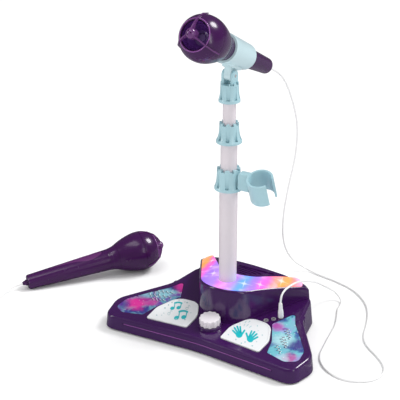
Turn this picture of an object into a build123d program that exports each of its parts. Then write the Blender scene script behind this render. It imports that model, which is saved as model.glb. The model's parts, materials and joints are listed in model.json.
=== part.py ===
"""Toy singing stand: a winged base with two play pads, a telescoping pole and two microphones."""
from build123d import *
import math
import os

os.makedirs("parts", exist_ok=True)

# ---- driving dimensions, millimetres and degrees ----
foot_height = 2.5            # rubber feet under the base
wall = 2.6                   # moulded wall of the base
gap = 0.3                    # room between fixed neighbours
base_draft = 6               # slope of the base's outer wall
block_height = 92            # taller than any point of the base
deck_slope = 6               # the deck rises towards the back
deck_at_pole = 31.6          # deck height at the pole's axis
arch_radius = 175            # crown of the raised platform
arch_top = 78.6
rim_round = 4.5
ledge_width = 2.5            # low step at the platform's foot
groove_depth, groove_height, groove_width = 0.8, 14, 2.4
screw_places = [(s * x, y) for s in (1, -1) for x, y in ((20, -68), (128, -80), (104, 30), (88, 72))]
boss_y = -47.5               # volume knob, along the deck from the pole's axis
knob_r, knob_height = 14, 10

lower_tube_r, middle_tube_r, top_tube_r = 12.5, 11.25, 8.75
slide_gap = 0.07             # radial running clearance between the tubes
lower_tube_span = (6.5, 238)
middle_tube_span = (92, 305)
top_tube_span = (150, 360)

pivot_height = 376.8         # tilt axis of the microphone clip, along X
holder_reach = 51            # spare holder's centre from the pole axis
holder_height = 228
holder_tilt = 22
holder_r = 15.6              # inside of the C, for the handle behind the head

head_r = 30.5                # microphone head at its widest
mouth_r = 21                 # round opening of the head
mouth_at = 22                # distance in front of the head's centre
joint_at, joint_r = -40, 20  # where the head meets the handle
neck_at, neck_r = -57, 16.5
tail_at, tail_r = -184, 11.2
nozzle_end = -192
mic_wall = 2.2

stand_mic_centre = (0, -67.4, 441.8)
stand_mic_nose = (0, -0.904, 0.427)
spare_mic_centre = (-210, 93, 30.9)
spare_mic_nose = (0.594, 0.797, 0.111)

lead_r = 1.4                 # both leads are 2.8 mm across
lead_floor = 1.5             # centre height of a lead that lies on the floor
plug_length = 23
pin_r, pin_length = 1.7, 12
jack_places = ((63.5, -2), (71.5, 5.5), (78.5, 13.5))
plug_jack = jack_places[2]

coil_centre = (-353, -132)
coil_r, coil_half_width = 17, 4.4
coil_bottom, coil_top = 0.7, 12.4

deck_plane = Plane(
    origin=(0, 0, deck_at_pole),
    x_dir=(1, 0, 0),
    z_dir=(0, -math.sin(math.radians(deck_slope)), math.cos(math.radians(deck_slope))),
)


def deck_height(y):
    return deck_at_pole + y * math.tan(math.radians(deck_slope))


def arch_height(x):
    return arch_top - arch_radius + math.sqrt(arch_radius**2 - x * x)


def keep(piece, name):
    """Label a finished piece and write its file."""
    piece.label = name
    export_step(piece, f"parts/{name}.step")


# ---- outlines seen from above ----
def base_plan(inset):
    """Bell-shaped footprint with two forward wings and a hollow back edge."""
    corners = [(0, -82, 260), (151, -92, 18), (161, -46, 30), (110, 26, 60), (96, 90, 20), (0, 60, 150)]
    half = [(x, y) for x, y, _ in corners]
    other_half = [(-x, y) for x, y in reversed(half[1:-1])]
    with BuildSketch() as plan:
        with BuildLine():
            Polyline(*half, *other_half, close=True)
        make_face()
        for x, y, radius in corners:
            for side in {1, -1 if x else 1}:
                nearest = plan.vertices().sort_by_distance((side * x, y, 0))[0]
                fillet(nearest, radius)
        if inset:
            offset(amount=-inset, kind=Kind.INTERSECTION)
    return plan.sketch


def platform_plan(grow):
    """Raised rear platform: a round nose widening back past the base's edge."""
    nose_r = 48.5 + grow
    with BuildSketch() as plan:
        with BuildLine():
            nose = CenterArc((0, 16.5), nose_r, 210, 120)
            right = Line(nose @ 1, nose @ 1 + Vector(66, 114.3))
            left = Line(nose @ 0, nose @ 0 + Vector(-66, 114.3))
            Line(right @ 1, left @ 1)
        make_face()
    return plan.sketch


def panel_plan(grow):
    """Glowing crescent around the pole, with a rounded lobe at each end."""
    with BuildSketch() as plan:
        with BuildLine():
            nose = CenterArc((0, 15.5), 45.3, 210, 120)
            right_front = Line(nose @ 1, (81, 65.5))
            right_lobe = ThreePointArc((81, 65.5), (79, 76), (67, 74.5))
            right_back = Line((67, 74.5), (31.8, 31.2))
            ThreePointArc((31.8, 31.2), (0, 18), (-31.8, 31.2))
            Line((-31.8, 31.2), (-67, 74.5))
            ThreePointArc((-67, 74.5), (-79, 76), (-81, 65.5))
            Line((-81, 65.5), nose @ 0)
        make_face()
        if grow:
            offset(amount=grow)
    return plan.sketch


def grille_plan(grow):
    """Speaker grille between the crescent and the back edge."""
    with BuildSketch() as plan:
        with BuildLine():
            ThreePointArc((-28, 35), (0, 23), (28, 35))
            Line((28, 35), (49, 60))
            ThreePointArc((49, 60), (0, 46.5), (-49, 60))
            Line((-49, 60), (-28, 35))
        make_face()
        fillet(plan.vertices(), 1.5)
        if grow:
            offset(amount=grow)
    return plan.sketch


def rounded_polygon(corners, side, grow):
    """Outline from (x, y, radius) corners, on the right (1) or the left (-1), grown evenly."""
    with BuildSketch() as plan:
        with BuildLine():
            Polyline(*[(side * x, y) for x, y, _ in corners], close=True)
        make_face()
        for x, y, radius in corners:
            fillet(plan.vertices().sort_by_distance((side * x, y, 0))[0], radius)
        if grow:
            offset(amount=grow)
    return plan.sketch


def pad_plan(side, grow):
    """Dome-shaped play pad with a straight front edge."""
    corners = [(27, -67, 3), (90, -72.5, 3), (91, -44, 25), (76, -9, 22), (42, -7, 18), (26.5, -38, 30)]
    return rounded_polygon(corners, side, grow)


def decal_plan(side, grow):
    """Printed panel on a wing, beside the play pad."""
    corners = [
        (92, 31, 3), (104, 8, 30), (124, -17, 40), (143, -42, 20), (146, -66, 9),
        (130, -75, 12), (100, -67, 3), (94, -42, 40), (75, -5, 3),
    ]
    return rounded_polygon(corners, side, grow)


# ---- the base's moulded shell ----
def drafted_block(inset):
    with BuildPart() as block:
        with BuildSketch(Plane.XY.offset(foot_height)):
            add(base_plan(inset))
        extrude(amount=block_height, taper=base_draft)
    return block.part


def wedge_block(inset, drop):
    """Low front part, cut off by the sloping deck."""
    with BuildPart() as wedge:
        add(drafted_block(inset))
        split(bisect_by=deck_plane.offset(-drop), keep=Keep.BOTTOM)
        if not inset:
            fillet(wedge.faces().sort_by(Axis.Z)[-1].edges(), rim_round)
    return wedge.part


def arch_block(drop):
    """Everything under the platform's crowned top, lowered by drop."""
    reach = 160
    end_height = arch_height(reach) - drop
    with BuildPart() as arch:
        with BuildSketch(Plane.XZ.offset(-110)):
            with BuildLine():
                crown = ThreePointArc((-reach, end_height), (0, arch_top - drop), (reach, end_height))
                Polyline(crown @ 1, (reach, -80), (-reach, -80), crown @ 0)
            make_face()
        extrude(amount=220)
    return arch.part


def platform_block(inset, drop):
    """Raised rear part under the crowned top."""
    with BuildPart() as platform:
        add(drafted_block(inset))
        with BuildSketch(Plane.XY):
            add(platform_plan(-inset))
        extrude(amount=block_height, mode=Mode.INTERSECT)
        add(arch_block(drop), mode=Mode.INTERSECT)
        if not inset:
            crown = platform.faces().filter_by(GeomType.CYLINDER).sort_by(SortBy.AREA)[-1]
            fillet(crown.edges(), rim_round - 0.5)
    return platform.part


def ledge_block():
    """Low step at the foot of the platform's front wall."""
    with BuildPart() as ledge:
        with BuildSketch(Plane.XY):
            add(platform_plan(ledge_width))
        extrude(amount=block_height)
        split(bisect_by=deck_plane.offset(2.2), keep=Keep.BOTTOM)
        add(drafted_block(5), mode=Mode.INTERSECT)
    return ledge.part


def front_groove():
    """Everything cut away for the shallow line along the front wall."""
    with BuildPart() as groove:
        with Locations((0, -90, groove_height)):
            Box(240, 40, groove_width)
        add(drafted_block(groove_depth), mode=Mode.SUBTRACT)
    return groove.part


with BuildPart() as top_shell:
    add(wedge_block(0, 0))
    add(platform_block(0, 0))
    add(ledge_block())
    with BuildSketch(deck_plane):
        with Locations((0, boss_y)):
            Circle(17.5)
    extrude(amount=4, taper=14)
    add(wedge_block(wall, wall), mode=Mode.SUBTRACT)
    add(platform_block(wall, wall), mode=Mode.SUBTRACT)
    for x, y in screw_places:
        with BuildSketch(Plane.XY.offset(foot_height + 3 + gap)):
            with Locations((x, y)):
                Circle(4)
        extrude(amount=deck_height(y) - wall - foot_height - 3)
        with BuildSketch(Plane.XY.offset(foot_height + 3)):
            with Locations((x, y)):
                Circle(1.45)
        extrude(amount=12, mode=Mode.SUBTRACT)
    for side in (1, -1):
        with BuildSketch(deck_plane.offset(-12)):
            add(pad_plan(side, 0.5))
        extrude(amount=24, mode=Mode.SUBTRACT)
        with BuildSketch(deck_plane.offset(-1)):
            add(decal_plan(side, 0.4))
        extrude(amount=14, mode=Mode.SUBTRACT)
    with BuildSketch(Plane.XY.offset(deck_at_pole)):
        add(panel_plan(0.3))
        add(grille_plan(0.3))
    extrude(amount=block_height, mode=Mode.SUBTRACT)
    with BuildSketch(deck_plane.offset(-12)):
        with Locations(*[(x, y / math.cos(math.radians(deck_slope))) for x, y in jack_places]):
            Circle(3.7)
        with Locations((0, boss_y)):
            Circle(3.2)
    extrude(amount=24, mode=Mode.SUBTRACT)
    add(front_groove(), mode=Mode.SUBTRACT)
keep(top_shell.part, "top_shell")
print("top shell", len(top_shell.part.solids()), round(top_shell.part.volume))

# ---- fixed pieces of the base ----
cover_top = foot_height + 3
battery_centre = (-46, 27)
door_size = (44, 50)

with BuildPart() as bottom_cover:
    with BuildSketch(Plane.XY.offset(foot_height)):
        add(base_plan(wall + 2 * gap))
        with Locations(battery_centre):
            Rectangle(door_size[0] + 0.8, door_size[1] + 0.8, mode=Mode.SUBTRACT)
        with Locations(*screw_places):
            Circle(1.7, mode=Mode.SUBTRACT)
    extrude(amount=3)
keep(bottom_cover.part, "bottom_cover")

with BuildPart() as light_panel:
    with BuildSketch(Plane.XY.offset(deck_at_pole)):
        add(panel_plan(0))
        Circle(lower_tube_r + 0.15, mode=Mode.SUBTRACT)
    extrude(amount=block_height)
    add(arch_block(-0.7), mode=Mode.INTERSECT)
    add(arch_block(3.4), mode=Mode.SUBTRACT)
keep(light_panel.part, "light_panel")

with BuildPart() as rear_grille:
    with BuildSketch(Plane.XY.offset(deck_at_pole)):
        add(grille_plan(0))
    extrude(amount=block_height)
    add(arch_block(1.4), mode=Mode.INTERSECT)
    add(arch_block(4.4), mode=Mode.SUBTRACT)
    for step in range(4):
        with BuildSketch(Plane.XY.offset(deck_at_pole)):
            with Locations((0, 28.5 + 5 * step)):
                SlotOverall(28 + 11 * step, 2.2)
        extrude(amount=block_height, mode=Mode.SUBTRACT)
keep(rear_grille.part, "rear_grille")

with BuildPart() as speaker:
    with BuildSketch(Plane.XZ.offset(-36)):
        with BuildLine():
            Polyline(
                (0, 52), (9, 52), (9, 58), (13.5, 68), (13.5, 70.5), (12, 70.5), (6, 62), (0, 62),
                close=True,
            )
        make_face()
    revolve(axis=Axis((0, 36, 0), (0, 0, 1)))
keep(speaker.part, "speaker")

with BuildPart() as led_board:
    with BuildSketch(Plane.XY.offset(46)):
        add(panel_plan(-4))
        Circle(19, mode=Mode.SUBTRACT)
    extrude(amount=1.6)
keep(led_board.part, "led_board")

led_places = ((-68, 62), (-55, 36), (-36, 12), (-20, -14), (20, -14), (36, 12), (55, 36), (68, 62))
with BuildPart() as leds:
    with BuildSketch(Plane.XY.offset(47.7)):
        with Locations(*led_places):
            Circle(2.5)
    extrude(amount=3.5)
keep(leds.part, "leds")

with BuildPart() as main_board:
    with BuildSketch(Plane.XY.offset(9)):
        with Locations((54, 42)):
            Rectangle(56, 34)
    extrude(amount=1.6)
keep(main_board.part, "main_board")

pad_centre = (58, -42)
with BuildPart() as pad_boards:
    with BuildSketch(Plane.XY.offset(cover_top + 1)):
        with Locations(*[(s * pad_centre[0], pad_centre[1]) for s in (1, -1)]):
            Rectangle(34, 30)
    extrude(amount=1.6)
keep(pad_boards.part, "pad_boards")

with BuildPart() as volume_pot:
    with BuildSketch(deck_plane.offset(-wall - 7)):
        with Locations((0, boss_y)):
            Rectangle(17, 17)
            Circle(3.07, mode=Mode.SUBTRACT)
    extrude(amount=6.7)
keep(volume_pot.part, "volume_pot")

slope_ratio = math.cos(math.radians(deck_slope))
jack_points = [(x, y / slope_ratio) for x, y in jack_places]
with BuildPart() as jack_sockets:
    with BuildSketch(deck_plane.offset(-13)):
        with Locations(*jack_points):
            Circle(3.5)
            Circle(pin_r + 0.08, mode=Mode.SUBTRACT)
    extrude(amount=13.9)
keep(jack_sockets.part, "jack_sockets")

cell_r, cell_length = 7, 49
with BuildPart() as battery_box:
    with BuildSketch(Plane.XY.offset(cover_top + gap)):
        with Locations(battery_centre):
            Rectangle(50, 56)
    extrude(amount=17)
    with BuildSketch(Plane.XY.offset(cover_top)):
        with Locations(battery_centre):
            Rectangle(46, 52)
    extrude(amount=15.6, mode=Mode.SUBTRACT)
keep(battery_box.part, "battery_box")

with BuildPart() as battery_door:
    with BuildSketch(Plane.XY.offset(foot_height)):
        with Locations(battery_centre):
            Rectangle(*door_size)
        with Locations((battery_centre[0], battery_centre[1] - 22)):
            Circle(1.6, mode=Mode.SUBTRACT)
    extrude(amount=2.5)
keep(battery_door.part, "battery_door")

with BuildPart() as batteries:
    for step in (-1, 0, 1):
        with BuildSketch(Plane.XZ.offset(-battery_centre[1] + cell_length / 2)):
            with Locations((battery_centre[0] + step * 14.6, cover_top + 7.8)):
                Circle(cell_r)
        extrude(amount=-cell_length)
keep(batteries.part, "batteries")


def cross_screw(head_r, head_height, shank_r, shank_length):
    """Cross-head screw pointing up, its head below z = 0."""
    with BuildPart() as screw:
        Cylinder(head_r, head_height, align=(Align.CENTER, Align.CENTER, Align.MAX))
        Cylinder(shank_r, shank_length, align=(Align.CENTER, Align.CENTER, Align.MIN))
        with Locations((0, 0, -head_height)):
            Box(head_r * 1.3, 0.7, 1.2, mode=Mode.SUBTRACT)
            Box(0.7, head_r * 1.3, 1.2, mode=Mode.SUBTRACT)
    return screw.part


housing_screw = cross_screw(2.8, 1.6, 1.4, 12)
with BuildPart() as housing_screws:
    with Locations(*[(x, y, foot_height - 0.02) for x, y in screw_places]):
        add(housing_screw)
keep(housing_screws.part, "housing_screws")

with BuildPart() as door_screw:
    with Locations((battery_centre[0], battery_centre[1] - 22, foot_height - 0.02)):
        add(cross_screw(2.6, 1.4, 1.4, 2.9))
keep(door_screw.part, "door_screw")

with BuildPart() as feet:
    Cylinder(16, foot_height, align=(Align.CENTER, Align.CENTER, Align.MIN))
    with Locations(*[(s * x, y, 0) for s in (1, -1) for x, y in ((112, -74), (84, 56))]):
        Cylinder(7, foot_height, align=(Align.CENTER, Align.CENTER, Align.MIN))
keep(feet.part, "feet")

for side, name in ((-1, "left_decal"), (1, "right_decal")):
    with BuildPart() as decal:
        with BuildSketch(deck_plane.offset(-1)):
            add(decal_plan(side, 0))
        extrude(amount=0.5)
    keep(decal.part, name)

with BuildPart() as pole_socket:
    with BuildSketch(Plane.XY.offset(cover_top)):
        Circle(17)
        with PolarLocations(0, 4):
            Rectangle(40, 3)
        Circle(lower_tube_r + 0.05, mode=Mode.SUBTRACT)
    extrude(amount=38)
keep(pole_socket.part, "pole_socket")

# ---- play pads and volume knob ----
for side, name in ((-1, "left_pad"), (1, "right_pad")):
    with BuildPart() as pad:
        with BuildSketch(deck_plane.offset(-5)):
            add(pad_plan(side, 0))
        extrude(amount=6.6)
        fillet(pad.faces().sort_by(Axis.Z)[-1].edges(), 0.8)
        with BuildSketch(deck_plane.offset(-5)):
            add(pad_plan(side, 1.6))
        extrude(amount=1.7)
        with BuildSketch(deck_plane.offset(-5)):
            add(pad_plan(side, -2.5))
        extrude(amount=4.4, mode=Mode.SUBTRACT)
        with BuildSketch(deck_plane.offset(1.6)):
            add(pad_plan(side, -2.2))
        extrude(amount=-0.5, mode=Mode.SUBTRACT)
    keep(pad.part, name)
    dome_base = cover_top + 2.7
    dome_axis = (side * pad_centre[0], pad_centre[1])
    with BuildPart() as dome:
        with BuildSketch(Plane.XY.offset(dome_base)):
            with Locations(dome_axis):
                Circle(9)
        extrude(amount=16.5, taper=14)
        with BuildSketch(Plane.XY.offset(dome_base)):
            with Locations(dome_axis):
                Circle(7)
        extrude(amount=14.5, taper=14, mode=Mode.SUBTRACT)
    keep(dome.part, name + "_dome")

with BuildPart() as volume_knob:
    with BuildSketch(deck_plane.offset(4.3)):
        with Locations((0, boss_y)):
            Circle(knob_r - 0.6)
            with PolarLocations(knob_r - 2.2, 12):
                Circle(2.9)
    extrude(amount=knob_height)
    fillet(volume_knob.faces().sort_by(Axis.Z)[-1].edges(), 1.2)
    with BuildSketch(deck_plane.offset(4.4)):
        with Locations((0, boss_y)):
            Circle(3)
    extrude(amount=-11)
keep(volume_knob.part, "volume_knob")


# ---- telescoping pole ----
def tube(outer_r, inner_r, span, name):
    with BuildPart() as pipe:
        with BuildSketch(Plane.XY.offset(span[0])):
            Circle(outer_r)
            Circle(inner_r, mode=Mode.SUBTRACT)
        extrude(amount=span[1] - span[0])
    keep(pipe.part, name)


tube(lower_tube_r, middle_tube_r + slide_gap, lower_tube_span, "lower_tube")
tube(middle_tube_r, top_tube_r + slide_gap, middle_tube_span, "middle_tube")
tube(top_tube_r, top_tube_r - 1.6, top_tube_span, "top_tube")


def collar(bottom, top, bottom_r, top_r, lower_bore, upper_bore, shoulder):
    """Flared locking collar with grip flutes and a notched rim, bored in two steps."""
    height = top - bottom
    with BuildPart() as ring:
        with BuildSketch(Plane.XZ):
            with BuildLine():
                foot = Line((bottom_r, bottom), (bottom_r, bottom + 2.5))
                waist = (top_r + 0.6, bottom + 0.55 * height)
                hip = (0.45 * bottom_r + 0.55 * waist[0], bottom + 0.25 * height)
                Spline(foot @ 1, hip, waist, (top_r, top))
                Polyline(
                    (top_r, top), (upper_bore, top), (upper_bore, shoulder), (lower_bore, shoulder),
                    (lower_bore, bottom), (bottom_r, bottom),
                )
            make_face()
        revolve(axis=Axis.Z)
        with BuildSketch(Plane.XY.offset(bottom + 4)):
            with PolarLocations(top_r + 2.2, 8, start_angle=22.5):
                Rectangle(4.4, 4.6)
        extrude(amount=height - 9, mode=Mode.SUBTRACT)
        with BuildSketch(Plane.XY.offset(top - 3)):
            with PolarLocations(top_r, 8, start_angle=0):
                Rectangle(20, 5.4)
        extrude(amount=4, mode=Mode.SUBTRACT)
    return ring.part


lower_collar_span = (217, 247)
lower_shoulder = lower_tube_span[1] + gap
with BuildPart() as lower_collar:
    add(collar(*lower_collar_span, 19.5, 15.8, lower_tube_r + 0.08, middle_tube_r + 0.1, lower_shoulder))
keep(lower_collar.part, "lower_collar")

with BuildPart() as middle_collar:
    add(collar(284, 312, 17.5, 13, middle_tube_r + 0.08, top_tube_r + 0.1, middle_tube_span[1] + gap))
keep(middle_collar.part, "middle_collar")

# holder for the spare microphone: a split ring on an arm from the lower collar
holder_plane = Plane(
    origin=(holder_reach, 0, holder_height),
    x_dir=(1, 0, 0),
    z_dir=(0, -math.sin(math.radians(holder_tilt)), math.cos(math.radians(holder_tilt))),
)
holder_half = 17
holder_reach_out = 2 * holder_r
opening = [
    (holder_reach_out * k * math.cos(math.radians(a)), holder_reach_out * k * math.sin(math.radians(a)))
    for k, a in ((1, -36), (2, -8), (1, 20))
]
with BuildPart() as spare_holder:
    with BuildSketch(holder_plane.offset(-holder_half)):
        Circle(holder_r + 2.6)
        Circle(holder_r, mode=Mode.SUBTRACT)
        with BuildLine():
            Polyline((0, 0), *opening, close=True)
        make_face(mode=Mode.SUBTRACT)
    extrude(amount=2 * holder_half)
    with BuildSketch(Plane.YZ.offset(16.4)):
        with Locations((0, 232)):
            RectangleRounded(15, 26, 5)
    extrude(amount=holder_reach - holder_r - 16.4 - 1.2)
    with BuildSketch(holder_plane.offset(-holder_half - 1)):
        Circle(holder_r)
    extrude(amount=2 * holder_half + 2, mode=Mode.SUBTRACT)
    with BuildSketch(Plane.XY.offset(200)):
        Circle(19.8)
    extrude(amount=60, mode=Mode.SUBTRACT)
keep(spare_holder.part, "spare_holder")

# top collar: a cap on the top tube whose two ears carry the clip's pivot
ear_inner, ear_outer, ear_round = 5.1, 8.6, 7
with BuildPart() as top_collar:
    add(collar(341, 368, 14.5, 11.8, top_tube_r + 0.08, 0.01, top_tube_span[1] + gap))
    with BuildSketch(Plane.YZ.offset(-ear_outer)):
        with Locations((0, pivot_height)):
            Circle(ear_round)
        with Locations((0, pivot_height - 7)):
            Rectangle(2 * ear_round, 14)
        with Locations((0, pivot_height)):
            Circle(2.02, mode=Mode.SUBTRACT)
    extrude(amount=2 * ear_outer)
    with BuildSketch(Plane.YZ.offset(-ear_inner)):
        with Locations((0, 375)):
            Rectangle(30, 20)
    extrude(amount=2 * ear_inner, mode=Mode.SUBTRACT)
keep(top_collar.part, "top_collar")

with BuildPart() as pivot_pin:
    with BuildSketch(Plane.YZ.offset(-ear_outer - 1.4)):
        with Locations((0, pivot_height)):
            Circle(3.4)
    extrude(amount=1.38)
    with BuildSketch(Plane.YZ.offset(-ear_outer - 0.1)):
        with Locations((0, pivot_height)):
            Circle(2)
    extrude(amount=2 * ear_outer + 0.6)
keep(pivot_pin.part, "pivot_pin")


# ---- microphones, drawn about their own axis with +Z towards the nose ----
def mic_plane(centre, nose):
    across = Vector(0, 0, 1).cross(Vector(*nose)).normalized()
    return Plane(origin=centre, x_dir=across, z_dir=nose)


def handle_radius(w):
    return neck_r + (w - neck_at) * (tail_r - neck_r) / (tail_at - neck_at)


def turned(points_outside, points_inside):
    """A shell turned about the axis from an outer and an inner half profile of (radius, w)."""
    curve = ThreePointArc if len(points_outside) == 3 else Spline
    with BuildPart() as shell:
        with BuildSketch(Plane.XZ):
            with BuildLine():
                outer = curve(*points_outside)
                inner = curve(*points_inside)
                Line(outer @ 1, inner @ 0)
                Line(inner @ 1, outer @ 0)
            make_face()
        revolve(axis=Axis.Z)
    return shell.part


def head_curve(shrink):
    """Rear half of the head: round at the seam, then drawn in to the joint."""
    swell = ((30.2, -8), (28.2, -18), (24.7, -29.5), (joint_r, joint_at))
    return [(head_r - shrink, -0.2)] + [(r - shrink, w) for r, w in swell]


def mouth_curve(shrink):
    """Front half of the head, up to the round mouth."""
    radius = head_r - shrink
    return [(math.sqrt(radius**2 - w * w), w) for w in (0.2, 12, mouth_at - 0.5 * shrink)]


def grip_outline(grow):
    """Long teardrop along the handle, seen from above it."""
    with BuildSketch(Plane.XZ) as plan:
        with BuildLine():
            Spline(
                (0, -64 + grow), (7 + grow, -72), (4.6 + grow, -105), (0, -150 - grow),
                (-4.6 - grow, -105), (-7 - grow, -72), periodic=True,
            )
        make_face()
    return plan.sketch


def handle_body(shrink):
    with BuildPart() as body:
        with BuildSketch(Plane.XZ):
            with BuildLine():
                neck = Spline(
                    (joint_r - shrink, joint_at - gap), (18 - shrink, -46),
                    (neck_r + 0.4 - shrink, -52), (neck_r - shrink, neck_at),
                )
                Polyline(
                    neck @ 1, (tail_r - shrink, tail_at + 1.5), (tail_r - 1.5 - shrink, tail_at),
                    (0, tail_at), (0, joint_at - gap), neck @ 0,
                )
            make_face()
        revolve(axis=Axis.Z)
    return body.part


grip_depth = 1.0


def grip_cutter(grow, side):
    with BuildPart() as cutter:
        with BuildSketch(Plane.XZ):
            add(grip_outline(grow))
        extrude(amount=-30 * side)
    return cutter.part


def microphone():
    """Every piece of one microphone by name, at the local origin."""
    pieces = {}
    with BuildPart() as handle:
        add(handle_body(0))
        with BuildSketch(Plane.XY.offset(joint_at)):
            Circle(12.4)
        extrude(amount=tail_at + 10 - joint_at, taper=1.9, mode=Mode.SUBTRACT)
        with BuildSketch(Plane.XY.offset(tail_at - 1)):
            Circle(3.1)
        extrude(amount=20, mode=Mode.SUBTRACT)
        for w, lift in ((-49, 1.6), (-54.5, 0.7)):
            with BuildSketch(Plane.XZ):
                with Locations((neck_r + lift, w)):
                    Circle(0.9)
            revolve(axis=Axis.Z, mode=Mode.SUBTRACT)
        for side in (1, -1):
            pocket = grip_cutter(0.25, side) - handle_body(grip_depth)
            add(pocket, mode=Mode.SUBTRACT)
    pieces["handle"] = handle.part
    with BuildPart() as grips:
        for side in (1, -1):
            add((grip_cutter(0, side) & handle_body(0.1)) - handle_body(grip_depth - 0.1))
    pieces["grips"] = grips.part
    with BuildPart() as nozzle:
        with BuildSketch(Plane.XZ):
            with BuildLine():
                Polyline(
                    (0, tail_at + 6), (2.9, tail_at + 6), (2.9, tail_at - 0.1), (4.6, tail_at - 0.1),
                    (4.6, tail_at - 3), (3.4, tail_at - 3.6), (3.4, tail_at - 5.6), (2.7, tail_at - 6.2),
                    (2.4, nozzle_end), (0, nozzle_end), close=True,
                )
            make_face()
        revolve(axis=Axis.Z)
    pieces["nozzle"] = nozzle.part
    rear_inside = [(x, w) for x, w in reversed(head_curve(mic_wall))]
    pieces["head_rear"] = turned(head_curve(0), rear_inside)
    front_inside = [(x, w) for x, w in reversed(mouth_curve(mic_wall))]
    pieces["head_front"] = turned(mouth_curve(0), front_inside)
    with BuildPart() as bowl:
        with BuildSketch(Plane.XZ):
            with BuildLine():
                Polyline(
                    (18.4, 20.5), (16, 11), (9.5, 3.5), (6.2, 2.5), (6.2, 0.9), (10.4, 1.6), (17.4, 9.8),
                    (18.9, 17), close=True,
                )
            make_face()
        revolve(axis=Axis.Z)
    pieces["bowl"] = bowl.part
    with BuildPart() as capsule:
        with BuildSketch(Plane.XY.offset(-6)):
            Circle(5.9)
        extrude(amount=9)
        fillet(capsule.edges().filter_by(GeomType.CIRCLE).sort_by(Axis.Z)[-1], 1)
    pieces["capsule"] = capsule.part
    with BuildPart() as guard:
        with BuildSketch(Plane.XZ):
            with BuildLine():
                dome = CenterArc((0, 30.5), 6.9, -12, 102)
                Polyline(dome @ 1, (0, 24), ((dome @ 0).X, 24), dome @ 0)
            make_face()
        revolve(axis=Axis.Z)
        for turn in range(3):
            angle = math.radians(90 + 120 * turn)
            outward = (math.cos(angle), math.sin(angle), 0)
            vane_plane = Plane(origin=(0, 0, 0), x_dir=outward, z_dir=(outward[1], -outward[0], 0))
            with BuildSketch(vane_plane.offset(-0.9)):
                with BuildLine():
                    Polyline(
                        (5.8, 26), (5.8, 34), (13, 30.5), (21.6, 24.6), (29.5, 13.5), (32.4, 1.5),
                        (31, 1.5), (28, 12.6), (21.9, 22.1), (19.6, 22.1), (14, 25.6), close=True,
                    )
                make_face()
            extrude(amount=1.8)
        add(mouth_guard_room(), mode=Mode.SUBTRACT)
        with BuildSketch(Plane.XY.offset(33)):
            with PolarLocations(2.7, 3):
                Circle(0.8)
        extrude(amount=6, mode=Mode.SUBTRACT)
    pieces["guard"] = guard.part
    return pieces


def mouth_guard_room():
    """The head's front shell with a hair of room, so that the guard's fins clear it."""
    return turned(mouth_curve(-0.12), list(reversed(mouth_curve(mic_wall + 0.12))))


mic_pieces = microphone()
stand_plane = Plane(origin=stand_mic_centre, x_dir=(1, 0, 0), z_dir=stand_mic_nose)
spare_plane = mic_plane(spare_mic_centre, spare_mic_nose)
for prefix, plane in (("mic", stand_plane), ("spare_mic", spare_plane)):
    for piece_name, piece in mic_pieces.items():
        keep(plane.location * piece, f"{prefix}_{piece_name}")

# ---- clip that carries the microphone on the pole ----
sleeve_front, sleeve_back = -56, -118
pivot_w, pivot_drop = -88.7, 30
with BuildPart() as mic_clip:
    with BuildSketch(Plane.XZ):
        with BuildLine():
            Polyline(
                (handle_radius(sleeve_front) + gap, sleeve_front), (20, sleeve_front), (20.2, sleeve_front - 4),
                (17.8, sleeve_back + 1), (17.4, sleeve_back), (handle_radius(sleeve_back) + gap, sleeve_back),
                close=True,
            )
        make_face()
    revolve(axis=Axis.Z)
    with BuildSketch(Plane.YZ.offset(-4.8)):
        with Locations((-pivot_drop, pivot_w)):
            Circle(7.4)
        with BuildLine():
            Polyline(
                (-pivot_drop, pivot_w + 7.3), (-17, pivot_w + 11), (-17, pivot_w - 11),
                (-pivot_drop, pivot_w - 7.3), close=True,
            )
        make_face()
    extrude(amount=9.6)
    with BuildSketch(Plane.YZ.offset(-9)):
        with BuildLine():
            Polyline(
                (-21.2, pivot_w + 9), (-17, pivot_w + 13), (-17, pivot_w - 13), (-21.2, pivot_w - 9),
                close=True,
            )
        make_face()
    extrude(amount=18)
    with BuildSketch(Plane.YZ.offset(-12)):
        with Locations((-pivot_drop, pivot_w)):
            Circle(2.06)
    extrude(amount=24, mode=Mode.SUBTRACT)
    with BuildSketch(Plane.XY.offset(sleeve_back - 1)):
        Circle(handle_radius(sleeve_back) + gap)
    extrude(amount=60, taper=-1.5, mode=Mode.SUBTRACT)
keep(stand_plane.location * mic_clip.part, "mic_clip")


# ---- leads ----
def corner_radii(points):
    """The largest tidy radius at each inner corner of a route."""
    vectors = [Vector(*b) - Vector(*a) for a, b in zip(points, points[1:])]
    radii = []
    for before, after in zip(vectors, vectors[1:]):
        half_turn = math.radians(before.get_angle(after)) / 2
        radii.append(0.45 * min(before.length, after.length) / math.tan(half_turn))
    return radii


def lead_tube(points, title):
    radii = corner_radii(points)
    with BuildPart() as lead:
        with BuildLine() as path:
            FilletPolyline(*points, radius=radii)
        line = path.wires()[0]
        with BuildSketch(Plane(origin=line @ 0, z_dir=line % 0)):
            Circle(lead_r)
        sweep()
    section = math.pi * lead_r**2
    print(title, "length", round(line.length, 1), "smallest radius", round(min(radii), 1),
          "volume ratio", round(lead.part.volume / (section * line.length), 4))
    return lead.part


def along(centre, nose, w):
    return tuple(c + n * w for c, n in zip(centre, nose))


plug_x, plug_y = plug_jack
deck_normal = deck_plane.z_dir
plug_foot = Vector(plug_x, plug_y, deck_height(plug_y)) + deck_normal * 1.0
plug_top = plug_foot + deck_normal * plug_length

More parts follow.
